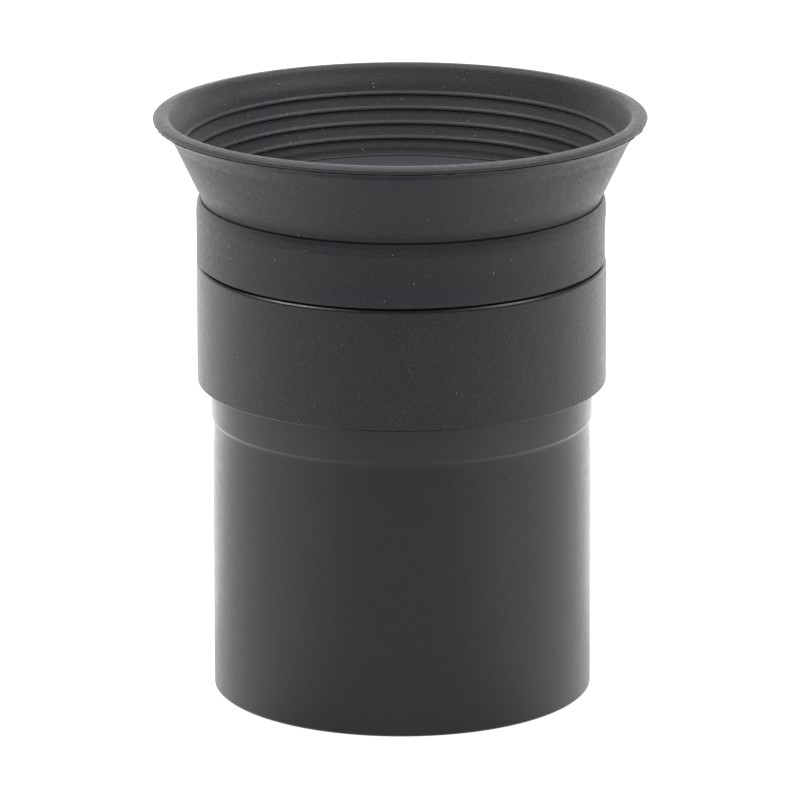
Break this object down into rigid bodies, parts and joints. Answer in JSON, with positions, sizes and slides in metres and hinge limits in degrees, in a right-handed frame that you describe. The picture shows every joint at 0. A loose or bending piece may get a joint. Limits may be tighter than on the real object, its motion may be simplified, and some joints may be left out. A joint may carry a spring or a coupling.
{
  "type": "telescope eyepiece",
  "caption": "Two-inch telescope eyepiece: plain barrel that unscrews, textured housing, lens cell with doublets and singlet, and a flared rubber eyecup that turns and folds down.",
  "frame": {"origin": "centre of the barrel's open lower end", "axes": "+Z along the optical axis, from the barrel towards the eyecup; the assembly is turned about Z"},
  "size_m": [0.0658, 0.0658, 0.079],
  "materials": {
    "rubber": "matte moulded rubber, bluish dark grey",
    "textured_paint": "fine-grained textured satin black paint",
    "black_anodise": "smooth satin black anodised aluminium",
    "blackened_metal": "matte blackened aluminium",
    "crown_glass": "polished, coated",
    "flint_glass": "polished, coated"
  },
  "bodies": {
    "housing_body": {"housing": "textured_paint", "eye_bezel": "blackened_metal"},
    "cup_body": {"eyecup_sleeve": "rubber", "eyecup_cone": "rubber"},
    "rim_body": {"eyecup_rim": "rubber"},
    "cell_body": {"lens_cell": "blackened_metal", "eye_flint": "flint_glass", "eye_crown": "crown_glass", "upper_spacer": "blackened_metal", "middle_lens": "crown_glass", "lower_spacer": "blackened_metal", "field_crown": "crown_glass", "field_flint": "flint_glass", "cell_ring": "blackened_metal"},
    "barrel_body": {"barrel": "black_anodise", "field_stop": "blackened_metal"}
  },
  "joints": [
    {"name": "eyecup_turn", "type": "hinge", "parent": "housing_body", "child": "cup_body", "pos_m": [0, 0, 0.0634], "axis": [0, 0, 1], "continuous": true},
    {"name": "eyecup_fold", "type": "slide", "parent": "cup_body", "child": "rim_body", "axis": [0, 0, -1], "range_m": [0, 0.0207], "deforming": ["eyecup_cone"]},
    {"name": "cell_drop", "type": "slide", "parent": "housing_body", "child": "cell_body", "axis": [0, 0, -1], "range_m": [0, 0.004]},
    {"name": "barrel_turn", "type": "hinge", "parent": "cell_body", "child": "barrel_body", "pos_m": [0, 0, 0.0453], "axis": [0, 0, -1], "range_deg": [0, 1440]}
  ],
  "couplings": [
    {"joint": "barrel_turn", "follows": "cell_drop", "rad_per_m": 6283.2}
  ]
}
